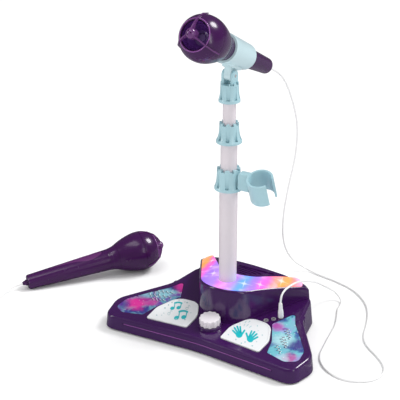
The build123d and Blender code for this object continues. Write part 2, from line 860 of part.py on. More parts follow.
hanging = [
    along(stand_mic_centre, stand_mic_nose, -195), (0, 127, 350), (0, 157, 329), (0, 184, 290), (0, 206, 243),
    (1, 199, 195), (0, 177, 148), (0, 164, 104), (-1, 171, 62), (1, 198, 24), (12, 222, 3),
]
on_floor = [
    (40, 214), (72, 209), (110, 196), (141, 168), (158, 138), (170, 104), (177, 76), (192, 54), (218, 35),
    (239, 12), (241, -15), (224, -36), (197, -43), (169, -32), (149, -8), (143, 19), (137, 49), (132, 80),
    (123, 106), (113, 128), (111, 147),
]
to_plug = [
    (104, 158, 4), (95, 157, 13), (92, 143, 24), (94, 120, 39), (94, 95, 56), (90, 70, 69), (84, 48, 75),
    (79, 28, 73), (78.7, 17.5, 71), (78.5, 12, 65.5), tuple(plug_top),
]
stand_route = hanging + [(x, y, lead_floor) for x, y in on_floor] + to_plug
stand_lead = lead_tube(stand_route, "stand lead")
keep(stand_lead, "stand_lead")


def plug_body():
    """Tapered grip, seated at the origin and rising along +Z."""
    with BuildPart() as body:
        with BuildSketch(Plane.XZ):
            with BuildLine():
                Polyline(
                    (0, 0), (3.6, 0), (4, 0.8), (3.9, 8), (3.1, 13), (2.6, plug_length - 2), (2.2, plug_length),
                    (0, plug_length), close=True,
                )
            make_face()
        revolve(axis=Axis.Z)
    return body.part


def plug_pin():
    with BuildPart() as pin:
        with BuildSketch(Plane.XZ):
            with BuildLine():
                Polyline(
                    (0, 0), (pin_r, 0), (pin_r, 1.5 - pin_length), (1.2, 0.8 - pin_length), (0, -pin_length),
                    close=True,
                )
            make_face()
        revolve(axis=Axis.Z)
    return pin.part


seated = Plane(origin=plug_foot, x_dir=(1, 0, 0), z_dir=deck_normal)
keep(seated.location * plug_body(), "stand_lead_plug")
keep(seated.location * plug_pin(), "stand_lead_pin")

coil_x, coil_y = coil_centre
entry = (coil_x + coil_r, coil_y, 4)
spare_route = [
    along(spare_mic_centre, spare_mic_nose, nozzle_end),
    along(spare_mic_centre, spare_mic_nose, nozzle_end - 11),
    (-336, -83, 4), (-337, -98, 2), (-336.5, -114, 2.2), entry,
]
coil_exit = (coil_x - coil_r, coil_y, 4)
plug_rest = (coil_x - coil_r - 3, coil_y + 30, 4.1)
tail_route = [
    coil_exit, (coil_x - coil_r - 0.5, coil_y + 12, 4.1), (coil_x - coil_r - 2.5, coil_y + 21, 4.1), plug_rest,
]
with BuildPart() as spare_lead:
    add(lead_tube(spare_route, "spare lead"))
    add(lead_tube(tail_route, "spare lead's tail"))
keep(spare_lead.part, "spare_lead")

with BuildPart() as spare_lead_coil:
    with BuildSketch(Plane.XZ.offset(-coil_y)):
        with Locations((coil_x + coil_r, (coil_bottom + coil_top) / 2)):
            RectangleRounded(2 * coil_half_width, coil_top - coil_bottom, 2.5)
    revolve(axis=Axis((coil_x, coil_y, 0), (0, 0, 1)))
keep(spare_lead_coil.part, "spare_lead_coil")

with BuildPart() as spare_lead_tie:
    with BuildSketch(Plane.YZ.offset(coil_x - 2.5)):
        with Locations((coil_y + coil_r, (coil_bottom + coil_top) / 2)):
            RectangleRounded(2 * coil_half_width + 2, coil_top - coil_bottom + 1.2, 2.6)
            RectangleRounded(2 * coil_half_width + 0.9, coil_top - coil_bottom + 0.3, 2.3, mode=Mode.SUBTRACT)
    extrude(amount=5)
keep(spare_lead_tie.part, "spare_lead_tie")

lying = Plane(origin=Vector(*plug_rest) + Vector(0, plug_length, 0), x_dir=(1, 0, 0), z_dir=(0, -1, 0))
keep(lying.location * plug_body(), "spare_lead_plug")
keep(lying.location * plug_pin(), "spare_lead_pin")
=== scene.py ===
"""Toy singing stand with two microphones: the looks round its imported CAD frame, laid out as an add-on."""

import json
import math

import bmesh
import bpy
from mathutils import Matrix, Vector


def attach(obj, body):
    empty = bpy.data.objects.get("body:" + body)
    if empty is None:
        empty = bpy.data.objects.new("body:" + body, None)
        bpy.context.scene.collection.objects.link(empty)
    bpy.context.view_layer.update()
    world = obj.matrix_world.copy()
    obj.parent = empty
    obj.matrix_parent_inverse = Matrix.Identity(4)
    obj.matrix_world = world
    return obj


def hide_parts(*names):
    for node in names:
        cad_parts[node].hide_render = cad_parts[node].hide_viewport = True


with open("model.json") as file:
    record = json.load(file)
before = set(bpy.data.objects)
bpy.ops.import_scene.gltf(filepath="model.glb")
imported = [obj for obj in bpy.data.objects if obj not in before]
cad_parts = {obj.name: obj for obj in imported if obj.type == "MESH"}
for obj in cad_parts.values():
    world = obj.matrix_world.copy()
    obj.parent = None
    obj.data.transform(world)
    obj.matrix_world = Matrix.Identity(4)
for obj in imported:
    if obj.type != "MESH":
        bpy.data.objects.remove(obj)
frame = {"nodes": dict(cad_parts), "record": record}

bl_info = {
    "name": "Singing stand",
    "version": (1, 0, 0),
    "blender": (4, 5, 0),
    "location": "3D View > Sidebar > Singing stand",
    "description": "Finishes, prints, leads and studio for a toy singing stand",
    "category": "Object",
}

# Places and lengths here and in the drawings below are in millimetres, except the camera's.
MM = 0.001
DECK = Matrix.Translation((0, 0, 31.6)) @ Matrix.Rotation(math.radians(6), 4, "X")  # x across, y back, z out
PAD_FACE = 1.1  # a pad's face above the deck
PRINT_FOOT = 1.06  # underside of a print, just inside its pad
FILM_FOOT = -0.54  # underside of the pen loops, just inside the film
INK_STEP = 0.012  # outlines that cross differ by this in height
PEN_STEP = 0.006
STAND_MIC = (Vector((0, -67.4, 441.8)), Vector((0, -0.904, 0.427)))  # centre of the head, way to its nose
SPARE_MIC = (Vector((-210, 93, 30.9)), Vector((0.594, 0.797, 0.111)))
NOZZLE_END = -191.6  # where a lead leaves, along the microphone's axis
NOZZLE_RUN = 11.4  # straight run of the spare lead out of its nozzle
MOUTH_PLACE = 21.9  # plane of the mouth, along the axis
MOUTH_RADIUS = 20.9
COIL_CENTRE = Vector((-353, -132))
COIL_RADIUS = 17
COIL_FOOT = 2.2  # height of the lowest turns' middle
COIL_LAYERS = 4
LAYER_TURNS = 2.625
LEVEL_SHARE = 0.84  # share of a layer that runs level before it climbs to the next
LINE_HALF = 118  # the front line, a bead whose lighter colour is a painted highlight: its half length, place, slope along the wings, curve at the middle
LINE_STEPS = 120
LINE_FRONT = -80.1
LINE_SLOPE = 0.0662
LINE_CURVE = 90
LINE_HEIGHT = 13.7
LINE_RADIUS = 0.75
CAMERA_PLACE = (0.72976, -1.27473, 0.84001)
CAMERA_TARGET = (-0.03208, -0.02174, 0.2)
GLOW_BANDS = (
    (0.0, (248, 180, 60)), (0.14, (250, 150, 70)), (0.21, (224, 90, 180)), (0.29, (150, 110, 232)),
    (0.38, (170, 130, 240)), (0.45, (214, 120, 214)), (0.52, (168, 116, 224)), (0.62, (92, 150, 246)),
    (0.7, (150, 110, 236)), (0.77, (222, 96, 190)), (0.84, (250, 140, 110)), (0.9, (250, 150, 80)),
    (0.96, (240, 130, 130)), (1.0, (226, 140, 170)),
)  # colours across the panel, left to right
LAMPS = (
    ((-27, 7), 9), ((25.7, 1.4), 9.5), ((43, 16.2), 8), ((59.4, 50.1), 10), ((-57, 53), 8), ((-44.4, 29), 5),
)  # place and reach of each star on the panel
FILMS = {
    "left_decal": (
        ((34, 20, 84), (52, 52, 128), (92, 142, 164), (104, 62, 150), (150, 44, 136)),
        (
            ((-86, 22), 22, (196, 40, 140), 0.9), ((-124, -46), 24, (206, 34, 140), 0.95),
            ((-104, -36), 15, (180, 40, 140), 0.8), ((-101, -4), 20, (140, 196, 206), 0.75),
            ((-128, -18), 16, (150, 200, 214), 0.7), ((-140, -58), 14, (70, 40, 130), 0.8),
        ),
        (0.31, 0.12, 0.07),
    ),
    "right_decal": (
        ((40, 24, 100), (62, 96, 158), (112, 190, 204), (146, 160, 212), (130, 56, 150)),
        (
            ((84, -8), 15, (176, 60, 160), 0.85), ((100, 6), 16, (120, 196, 206), 0.7),
            ((106, -32), 24, (176, 220, 226), 0.85), ((108, -56), 16, (110, 186, 200), 0.8),
            ((132, -32), 20, (62, 40, 130), 0.9), ((135, -62), 13, (190, 60, 150), 0.8),
            ((124, -70), 12, (190, 214, 226), 0.6),
        ),
        (0.83, 0.44, 0.21),
    ),
}  # ground colours, then patches of place, reach, colour and weight, then the pattern's shift
NOTE_DOTS = (
    (45, 23), (15, 33), (-55, -7), (-70, -42), (-95, -42), (45, -62), (-60, -32), (-20, 20), (2, -60),
    (75, -30), (-38, 8), (56, 20),
)
HAND_DOTS = (
    (-27, 18), (-44, -10), (-7, -34), (103, 10), (123, -12), (73, -64), (13, 43), (-18, 34), (38, -46),
    (95, -44), (100, 34), (20, -52),
)
CLAP_DASHES = (
    ((32, 34), (38, 42)), ((46, 32), (55, 42)), ((60, 26), (70, 33)), ((38, 50), (44, 57)),
    ((56, 52), (64, 58)),
)
FINGERS = (
    ((-12, 4), (-21, 27), 8.5), ((-4, 8), (-8, 36), 8.8), ((5, 8), (7, 37), 8.8), ((12, 4), (20, 30), 8.2),
    ((12, -8), (32, 4), 9),
)  # root, tip and width
PEN_LOOPS = {
    "left": (
        ((-128, -12), 40, 3.0, 6, 0.3), ((-122, -21), 36, 3.2, 5, 0.28), ((-112, -28), 22, 2.2, 4, 0.26),
    ),
    "right": (
        ((98, -8), 24, 2.8, 4, -0.9), ((101, -26), 26, 3.0, 4, -0.9), ((103, -47), 20, 2.4, 3, -0.8),
    ),
}  # start, reach, height, number of waves and lean of each line


def srgb(red, green, blue):
    """Linear colour of a 0 to 255 display colour."""
    values = [v / 255 for v in (red, green, blue)]
    return tuple(v / 12.92 if v <= 0.04045 else ((v + 0.055) / 1.055) ** 2.4 for v in values)


def colour_property(name, description, default):
    return bpy.props.FloatVectorProperty(
        name=name, description=description, subtype="COLOR", size=3, min=0, max=1, default=srgb(*default)
    )


def number_property(name, description, default, **limits):
    return bpy.props.FloatProperty(name=name, description=description, default=default, **limits)


def length_property(name, description, default):
    return number_property(name, description, default, subtype="DISTANCE", unit="LENGTH", min=0)


# ---- what a user would change ----
class StandColours(bpy.types.PropertyGroup):
    """Colours of the stand's plastics and prints."""

    shell: colour_property("Base", "Plastic of the winged base", (56, 14, 78))
    microphone: colour_property("Microphones", "Plastic of heads and handles", (60, 12, 74))
    grip: colour_property("Grips", "Satin inlays of the handles", (90, 34, 96))
    bowl: colour_property("Bowl", "Inside of a microphone's mouth", (78, 36, 112))
    # Lighter purple: the guards' own colour is a darker shade of it, and on the mouth rims and the front line
    # it is a painted highlight.
    trim_and_highlight: colour_property("Trim", "Mouth rims, guards and the line along the front", (132, 74, 146))
    clip: colour_property("Clip", "Sleeve that holds the microphone", (192, 216, 222))
    aqua: colour_property("Aqua plastic", "Collars, clip and spare holder", (164, 200, 209))
    tube: colour_property("Tubes", "Telescoping pole", (214, 206, 212))
    pad: colour_property("Pads", "Play pads", (226, 228, 230))
    knob: colour_property("Knob", "Volume knob", (228, 222, 228))
    lead: colour_property("Leads", "Leads and their plugs", (236, 236, 236))
    motif: colour_property("Motifs", "Notes and hands on the pads", (24, 178, 186))


class StandSizes(bpy.types.PropertyGroup):
    """Sizes of the added pieces."""

    lead_diameter: length_property("Lead", "Diameter of both leads", 0.0028)
    rim_thickness: length_property("Mouth rim", "Thickness of the ring round a microphone's mouth", 0.0016)
    print_height: length_property("Print", "Height of a printed motif above its pad", 0.00012)
    coil_pitch: length_property("Coil pitch", "Spacing of the spare lead's turns", 0.0029)


class StandStage(bpy.types.PropertyGroup):
    """Floor, lights and camera."""

    floor_width: length_property("Floor", "Width of the floor", 14)
    key_strength: number_property("Key light", "Strength of the sun-like key light", 1.9, min=0)
    fill_power: number_property("Fill light", "Power of the fill light", 9, subtype="POWER", min=0)
    strip_power: number_property("Strip light", "Power of the strip light", 4, subtype="POWER", min=0)
    sky: number_property("Sky", "Strength of the white surroundings", 0.66, min=0)
    calm: number_property(
        "Calm", "Share of the surroundings kept out of reflections", 0.86, subtype="FACTOR", min=0, max=1
    )
    lens: number_property("Lens", "Focal length", 105.875, subtype="DISTANCE_CAMERA", min=1)


# ---- node materials ----
class Wire:
    """A socket of a node tree; arithmetic on it adds Math nodes."""

    def __init__(self, tree, socket):
        self.tree = tree
        self.socket = socket

    def math(self, operation, *values, clamp=False):
        settings = {"operation": operation, "use_clamp": clamp}
        return new_node(self.tree, "ShaderNodeMath", settings, dict(enumerate(values)))

    def __add__(self, other):
        return self.math("ADD", self, other)

    def __radd__(self, other):
        return self.math("ADD", other, self)

    def __sub__(self, other):
        return self.math("SUBTRACT", self, other)

    def __rsub__(self, other):
        return self.math("SUBTRACT", other, self)

    def __mul__(self, other):
        return self.math("MULTIPLY", self, other)

    def __rmul__(self, other):
        return self.math("MULTIPLY", other, self)

    def __truediv__(self, other):
        return self.math("DIVIDE", self, other)

    def __rtruediv__(self, other):
        return self.math("DIVIDE", other, self)

    def __pow__(self, other):
        return self.math("POWER", self, other)

    def __rpow__(self, other):
        return self.math("POWER", other, self)

    def size(self):
        return self.math("ABSOLUTE", self)

    def most(self, other):
        return self.math("MAXIMUM", self, other)

    def clamped(self):
        return self.math("ADD", self, 0, clamp=True)

    def between(self, low, high):
        """0 below low, 1 above high, smooth between; low may be the larger."""
        share = ((self - low) / (high - low)).clamped()
        return share * share * (3 - 2 * share)


def feed(tree, target, value):
    """Link a wire to an input, or set the input's own value."""
    if isinstance(value, Wire):
        tree.links.new(value.socket, target)
    elif target.type == "RGBA":
        target.default_value = (*value[:3], 1)
    else:
        target.default_value = value


def new_node(tree, kind, settings=None, inputs=None, output=0):
    """Any node: its settings first, a ramp's stops among them, then its inputs by name or number."""
    made = tree.nodes.new(kind)
    for key, value in (settings or {}).items():
        if key == "stops":
            set_stops(made.color_ramp, value)
        else:
            setattr(made, key, value)
    for key, value in (inputs or {}).items():
        feed(tree, made.inputs[key], value)
    return Wire(tree, made.outputs[output])


def set_stops(band, stops):
    """Colours along a ramp, as (place, 0 to 255 colour) stops."""
    band.interpolation = "EASE"
    while len(band.elements) < len(stops):
        band.elements.new(0.5)
    for element, (place, colour) in zip(band.elements, stops):
        element.position = place
        element.color = (*srgb(*colour), 1)


class Finish:
    """A Principled material whose pattern is worked out from object coordinates."""

    def __init__(self, name, roughness=0.3, metallic=0.0, coat=0.0, specular=0.5):
        self.material = bpy.data.materials.new(name)
        self.material.use_nodes = True
        self.tree = self.material.node_tree
        self.shader = self.tree.nodes["Principled BSDF"]
        self.set("Roughness", roughness)
        self.set("Metallic", metallic)
        self.set("Coat Weight", coat)
        self.set("Coat Roughness", 0.1)
        self.set("Specular IOR Level", specular)
        self.place = self.node("ShaderNodeTexCoord", output="Object")

    def node(self, kind, settings=None, inputs=None, output=0):
        return new_node(self.tree, kind, settings, inputs, output)

    def set(self, name, value):
        feed(self.tree, self.shader.inputs[name], value)

    def axis(self, name):
        """One of the object coordinates, in millimetres."""
        return self.node("ShaderNodeSeparateXYZ", inputs={"Vector": self.place}, output=name) * 1000

    def noise(self, scale, detail=3.0, roughness=0.5, distortion=0.0, shift=None):
        place = self.place
        if shift is not None:
            place = self.node("ShaderNodeVectorMath", {"operation": "ADD"}, {0: place, 1: shift})
        inputs = {"Vector": place, "Scale": scale, "Detail": detail}
        inputs.update({"Roughness": roughness, "Distortion": distortion})
        return self.node("ShaderNodeTexNoise", inputs=inputs)

    def cells(self, scale):
        """Distance to the nearest of a scatter of points."""
        inputs = {"Vector": self.place, "Scale": scale, "Randomness": 1.0}
        return self.node("ShaderNodeTexVoronoi", inputs=inputs, output="Distance")

    def mix(self, factor, first, second):
        """Colour between first (factor 0) and second (factor 1)."""
        settings = {"data_type": "RGBA", "blend_type": "MIX"}
        return self.node("ShaderNodeMix", settings, {0: factor, 6: first, 7: second}, output=2)

    def ramp(self, factor, stops):
        return self.node("ShaderNodeValToRGB", {"stops": stops}, {0: factor})

    def bump(self, height, strength, distance):
        inputs = {"Height": height, "Strength": strength, "Distance": distance}
        self.set("Normal", self.node("ShaderNodeBump", inputs=inputs))


def shade(colour, factor):
    return tuple(min(1, c * factor) for c in colour)


def moulded(name, colour, roughness, coat=0.0, variation=0.1, grain=0.02):
    """Injection-moulded plastic: slow drift of tone, fine grain and uneven polish."""
    finish = Finish(name, coat=coat)
    drift = finish.noise(14, detail=2).between(0.3, 0.7)
    finish.set("Base Color", finish.mix(drift, shade(colour, 1 - variation), shade(colour, 1 + variation)))
    finish.set("Roughness", roughness + (finish.noise(120, detail=4) - 0.5) * 0.08)
    finish.bump(finish.noise(900, detail=2), grain, 0.0004)
    return finish


def star(finish, x, y, place, reach):
    """Brightness of a small lamp with four crossed rays at a place on the panel."""
    dx, dy = (x - place[0]) / reach, (y - place[1]) / reach
    spot = (dx * dx + dy * dy) ** 0.5
    core = spot.between(0.5, 0.08)
    along, across = (dx + dy * 0.35).size(), (dy - dx * 0.35).size()
    ray_a = along.between(1.7, 0) * across.between(0.12, 0)
    ray_b = across.between(1.7, 0) * along.between(0.12, 0)
    return (core + ray_a + ray_b).clamped()


def glow_finish(name):
    """Clear panel lit from below: bands of colour round the pole and a star over each lamp."""
    finish = Finish(name, roughness=0.22, coat=0.4)
    x, y = finish.axis("X"), finish.axis("Y")
    drift = (finish.noise(26, detail=2) - 0.5) * 0.12
    bands = finish.ramp((x * 0.98 + y * 0.2 + 80) / 168 + drift, GLOW_BANDS)
    clouds = finish.noise(60, detail=3)
    soft = finish.mix(clouds.between(0.45, 0.75) * 0.35, bands, srgb(240, 196, 244))
    stars, *others = [star(finish, x, y, place, reach) for place, reach in LAMPS]
    for other in others:
        stars = stars.most(other)
    finish.set("Base Color", soft)
    finish.set("Emission Color", finish.mix(stars, soft, srgb(255, 252, 244)))
    finish.set("Emission Strength", 0.62)
    finish.bump(clouds, 0.03, 0.001)
    return finish


def galaxy_finish(name, ground, patches, shift):
    """Printed film: clouds of colour, round patches and a scatter of white specks."""
    finish = Finish(name, roughness=0.24, coat=0.5)
    x, y = finish.axis("X"), finish.axis("Y")
    drift = finish.noise(34, detail=5, roughness=0.62, distortion=0.5, shift=shift)
    picture = finish.ramp(drift, list(zip((0.3, 0.42, 0.52, 0.62, 0.74), ground)))
    wander = (finish.noise(55, detail=4, roughness=0.6, shift=shift) - 0.5) * 26
    for (px, py), reach, colour, weight in patches:
        away = ((x - px) ** 2 + (y - py) ** 2) ** 0.5 + wander
        picture = finish.mix(away.between(reach, reach * 0.25) * weight, picture, srgb(*colour))
    mask = finish.noise(48, detail=2, shift=shift).between(0.46, 0.6)
    fine, coarse = finish.cells(260.0).between(0.16, 0.05), finish.cells(110.0).between(0.13, 0.04)
    specks = (fine * mask + coarse).clamped()
    finish.set("Base Color", finish.mix(specks * 0.85, picture, srgb(250, 240, 255)))
    return finish


# ---- mesh pieces ----
def new_piece(name, shape, body, finish, smooth=40):
    """Turn a bmesh in millimetres into a piece that rides on a body and takes the finish it is given."""
    bmesh.ops.remove_doubles(shape, verts=shape.verts, dist=1e-6)
    bmesh.ops.recalc_face_normals(shape, faces=shape.faces)
    bmesh.ops.scale(shape, verts=shape.verts, vec=(MM, MM, MM))
    mesh = bpy.data.meshes.new(name)
    shape.to_mesh(mesh)
    shape.free()
    mesh.shade_smooth()
    mesh.set_sharp_from_angle(angle=math.radians(smooth))
    piece = bpy.data.objects.new(name, mesh)
    bpy.context.scene.collection.objects.link(piece)
    mesh.materials.append(finish.material)
    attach(piece, body)
    return piece


def sweep(shape, section, moves):
    """Carry a flat section through a row of moves, leaving a closed solid behind it."""
    carried = []
    for move in moves:
        raised = bmesh.ops.extrude_face_region(shape, geom=[section])
        section = next(part for part in raised["geom"] if isinstance(part, bmesh.types.BMFace))
        bmesh.ops.translate(shape, verts=section.verts[:], vec=move)
        carried.append(section)
    bmesh.ops.delete(shape, geom=carried[:-1], context="FACES_ONLY")


def slab(shape, outline, low, high):
    """Closed plate over an outline of (x, y) points of the deck, from one height above it to another."""
    corners = [shape.verts.new(DECK @ Vector((x, y, low))) for x, y in outline]
    sweep(shape, shape.faces.new(corners), [DECK.to_3x3() @ Vector((0, 0, high - low))])


def oval(centre, half_length, half_width, angle, count=28):
    turn = Matrix.Rotation(angle, 2)
    points = []
    for step in range(count):
        a = 2 * math.pi * step / count
        points.append(Vector(centre) + turn @ Vector((half_length * math.cos(a), half_width * math.sin(a))))
    return [tuple(p) for p in points]


def stroke(points, width):
    """Outline of a pen stroke through points, with round ends."""
    points = [Vector(p) for p in points]
    left, right = [], []
    for index, point in enumerate(points):
        before, after = points[max(index - 1, 0)], points[min(index + 1, len(points) - 1)]
        ahead = (after - before).normalized()
        side = Vector((-ahead.y, ahead.x)) * width / 2
        left.append(point + side)
        right.append(point - side)
    caps = []
    for end, direction in ((points[-1], points[-1] - points[-2]), (points[0], points[0] - points[1])):
        start = math.atan2(direction.y, direction.x) + math.pi / 2
        arc = [start - math.pi * k / 6 for k in range(1, 6)]
        caps.append([end + Vector((math.cos(a), math.sin(a))) * width / 2 for a in arc])
    return [tuple(p) for p in left + caps[0] + right[::-1] + caps[1]]


def dash(start, end, width):
    middle = ((start[0] + end[0]) / 2, (start[1] + end[1]) / 2)
    return stroke([start, middle, end], width)


def arc_points(centre, radius, start, end, count=14):
    angles = [math.radians(start + (end - start) * k / (count - 1)) for k in range(count)]
    return [(centre[0] + radius * math.cos(a), centre[1] + radius * math.sin(a)) for a in angles]


def dots(spots):
    """Small uneven ovals."""
    return [oval(spot, 2.4 + k % 3 * 0.7, 2.2 + k % 3 * 0.6, 0, 14) for k, spot in enumerate(spots)]


class PrintFrame:
    """Drawing units laid on the deck: u towards the viewer's right and v up the drawing."""

    def __init__(self, origin, across, up):
        self.origin, self.across, self.up = Vector(origin), Vector(across), Vector(up)

    def lay(self, points):
        return [tuple(self.origin + self.across * u + self.up * v) for u, v in points]


LEFT_PRINT = PrintFrame((-66.8, -30.7), (0.256, 0.126), (-0.271, 0.440))
RIGHT_PRINT = PrintFrame((43.0, -46.8), (0.248, 0.124), (-0.233, 0.414))


def notes(place):
    """Outlines of two beamed pairs of notes, two open notes and a few dots."""
    pair = [oval((-16, -8), 11, 8, 0.3), oval((15, -5), 11, 8, 0.3)]
    pair += [stroke(stem, 4.5) for stem in ([(-7, -8), (-5, 6), (-3, 19)], [(24, -5), (27, 8), (30, 19)])]
    pair.append(stroke([(-4, 18), (8, 21), (20, 21), (31, 17)], 8))
    heavy, light = [], []
    for (u, v), scale in (((-2, 0), 1.0), ((22, -45), 1.15)):
        heavy += [[(u + scale * a, v + scale * b) for a, b in points] for points in pair]
    for u, v in ((60, -4), (-30, -30)):
        light.append(stroke(arc_points((u - 5, v - 5), 6, 20, 340), 1.8))
        light.append(stroke([(u + 1, v - 4), (u + 3, v + 6), (u + 5, v + 12)], 1.8))
        light.append(stroke([(u + 5, v + 12), (u + 10, v + 9), (u + 11, v + 3)], 1.8))
    light += dots(NOTE_DOTS)
    return [place.lay(p) for p in heavy], [place.lay(p) for p in light]


def hand(centre, heading, mirrored):
    """Open hand: a palm, four fingers and a thumb, in drawing units."""
    turn = Matrix.Rotation(math.radians(heading), 2)
    flip = -1 if mirrored else 1
    shapes = [oval((0, -4), 17, 16, 0)] + [dash(*finger) for finger in FINGERS]
    return [[tuple(Vector(centre) + turn @ Vector((a * flip, b))) for a, b in points] for points in shapes]


def hands(place):
    """Outlines of two clapping hands, with dashes between them and a few dots."""
    heavy = hand((8, -6), 24, False) + hand((66, -28), -42, True)
    light = [dash(start, end, 2.6) for start, end in CLAP_DASHES] + dots(HAND_DOTS)
    return [place.lay(p) for p in heavy], [place.lay(p) for p in light]


def pen_line(start, reach, height, waves, lean):
    """Looping line like handwriting, in deck millimetres."""
    turn = Matrix.Rotation(lean, 2)
    count = waves * 12
    line = []
    for step in range(count + 1):
        t = step / count
        swing = 2 * math.pi * waves * t
        along = reach * t + height * 0.55 * math.sin(2 * swing)
        across = height * (1 + 0.35 * math.sin(5 * t)) * math.sin(swing)
        line.append(Vector(start) + turn @ Vector((along, across)))
    return line


def round_rim(place, major, minor):
    """Closed ring round the z axis of a frame."""
    shape = bmesh.new()
    upright = Matrix.Translation((major, 0, 0)) @ Matrix.Rotation(math.pi / 2, 4, "X")
    bmesh.ops.create_circle(shape, segments=14, radius=minor, matrix=upright)
    section = shape.verts[:] + shape.edges[:]
    bmesh.ops.spin(shape, geom=section, axis=(0, 0, 1), angle=2 * math.pi, steps=96, use_merge=True)
    bmesh.ops.transform(shape, matrix=place, verts=shape.verts)
    return shape


def mic_frame(microphone, offset):
    """Frame at a distance along a microphone's axis, z towards the nose."""
    centre, nose = microphone
    nose = nose.normalized()
    across = Vector((0, 0, 1)).cross(nose).normalized()
    up = nose.cross(across)
    turn = Matrix((across, up, nose)).transposed().to_4x4()
    return Matrix.Translation(centre + nose * offset) @ turn


# ---- leads ----
def stand_route():
    """The stand lead: out of the handle, down behind the pole, over the floor and up to its plug."""
    centre, nose = STAND_MIC
    start = tuple(centre + nose * NOZZLE_END)
    hanging = [
        start, (0, 127, 350), (0, 157, 329), (0, 184, 290), (0, 206, 243), (1, 199, 195), (0, 177, 148),
        (0, 164, 104), (-1, 171, 62), (1, 198, 24), (12, 222, 3),
    ]
    floor = [
        (40, 214), (72, 209), (110, 196), (141, 168), (158, 138), (170, 104), (177, 76), (192, 54), (218, 35),
        (239, 12), (241, -15), (224, -36), (197, -43), (169, -32), (149, -8), (143, 19), (137, 49), (132, 80),
        (123, 106), (113, 128), (111, 147),
    ]
    rising = [
        (104, 158, 4), (95, 157, 13), (92, 143, 24), (94, 120, 39), (94, 95, 56), (90, 70, 69), (84, 48, 75),
        (79, 28, 73), (78.7, 17.5, 71), (78.5, 12, 65.5), (78.5, 10.99, 56.89),
    ]
    return hanging + [(x, y, 1.5) for x, y in floor] + rising


def coil_turns(pitch, per_turn=24):
    """Points of the wound coil: turns side by side in each of its layers, then up to the next."""
    points = []
    for step in range(int(COIL_LAYERS * LAYER_TURNS * per_turn) + 1):
        turn = step / per_turn
        layer = min(int(turn / LAYER_TURNS), COIL_LAYERS - 1)
        share = turn / LAYER_TURNS - layer
        top = layer == COIL_LAYERS - 1
        climb = 0 if top else max(0, (share - LEVEL_SHARE) / (1 - LEVEL_SHARE))
        run = share if top else min(share / LEVEL_SHARE, 1)
        side = 1 - 2 * run if layer % 2 == 0 else 2 * run - 1
        angle = -2 * math.pi * turn
        radius = COIL_RADIUS + side * pitch
        height = COIL_FOOT + (layer + climb * climb * (3 - 2 * climb)) * pitch
        x, y = COIL_CENTRE + Vector((math.cos(angle), math.sin(angle))) * radius
        points.append((x, y, height))
    return points


def spare_route(pitch):
    """The spare lead: out of the handle, round its coil and out to its plug."""
    centre, nose = SPARE_MIC
    start = [tuple(centre + nose * reach) for reach in (NOZZLE_END, NOZZLE_END - NOZZLE_RUN)]
    coil = coil_turns(pitch)
    entry = [(-336, -83, 4), (-335, -98, 2), (-333.4, -114, 2.2)]
    x, y, z = coil[-1]
    leaving = [(x - 0.2, y + 8, z - 1.4), (-372, -111, 5), (-373, -102, 4.1)]
    return start + entry + coil + leaving


def new_lead(name, points, diameter, finish, body):
    """A lead as one open spline along its route."""
    line = bpy.data.curves.new(name, "CURVE")
    line.dimensions = "3D"
    line.bevel_depth = diameter / 2
    line.bevel_resolution = 5
    line.resolution_u = 8
    line.use_fill_caps = True
    spline = line.splines.new("NURBS")
    spline.points.add(len(points) - 1)
    for target, point in zip(spline.points, points):
        target.co = (*[c * MM for c in point], 1)
    spline.order_u = 3
    spline.use_endpoint_u = True
    line.materials.append(finish.material)
    lead = bpy.data.objects.new(name, line)
    bpy.context.scene.collection.objects.link(lead)
    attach(lead, body)
    return lead


class STAND_OT_leads(bpy.types.Operator):
    """Lay both microphone leads"""

    bl_idname = "singing_stand.leads"
    bl_label = "Lay the leads"

    def execute(self, context):
        sizes, colours = context.scene.stand_sizes, context.scene.stand_colours
        finish = moulded("lead_pvc", colours.lead, 0.34, coat=0.25, variation=0.02)
        diameter = sizes.lead_diameter
        route = stand_route()
        lead = new_lead("stand_lead_cable", route, diameter, finish, "base")
        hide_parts("stand_lead")
        [c * MM for c in route[0]]
        route = spare_route(sizes.coil_pitch / MM)
        spare = new_lead("spare_lead_cable", route, diameter, finish, "spare_mic")
        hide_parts("spare_lead", "spare_lead_coil")
        [c * MM for c in route[0]]
        return {"FINISHED"}


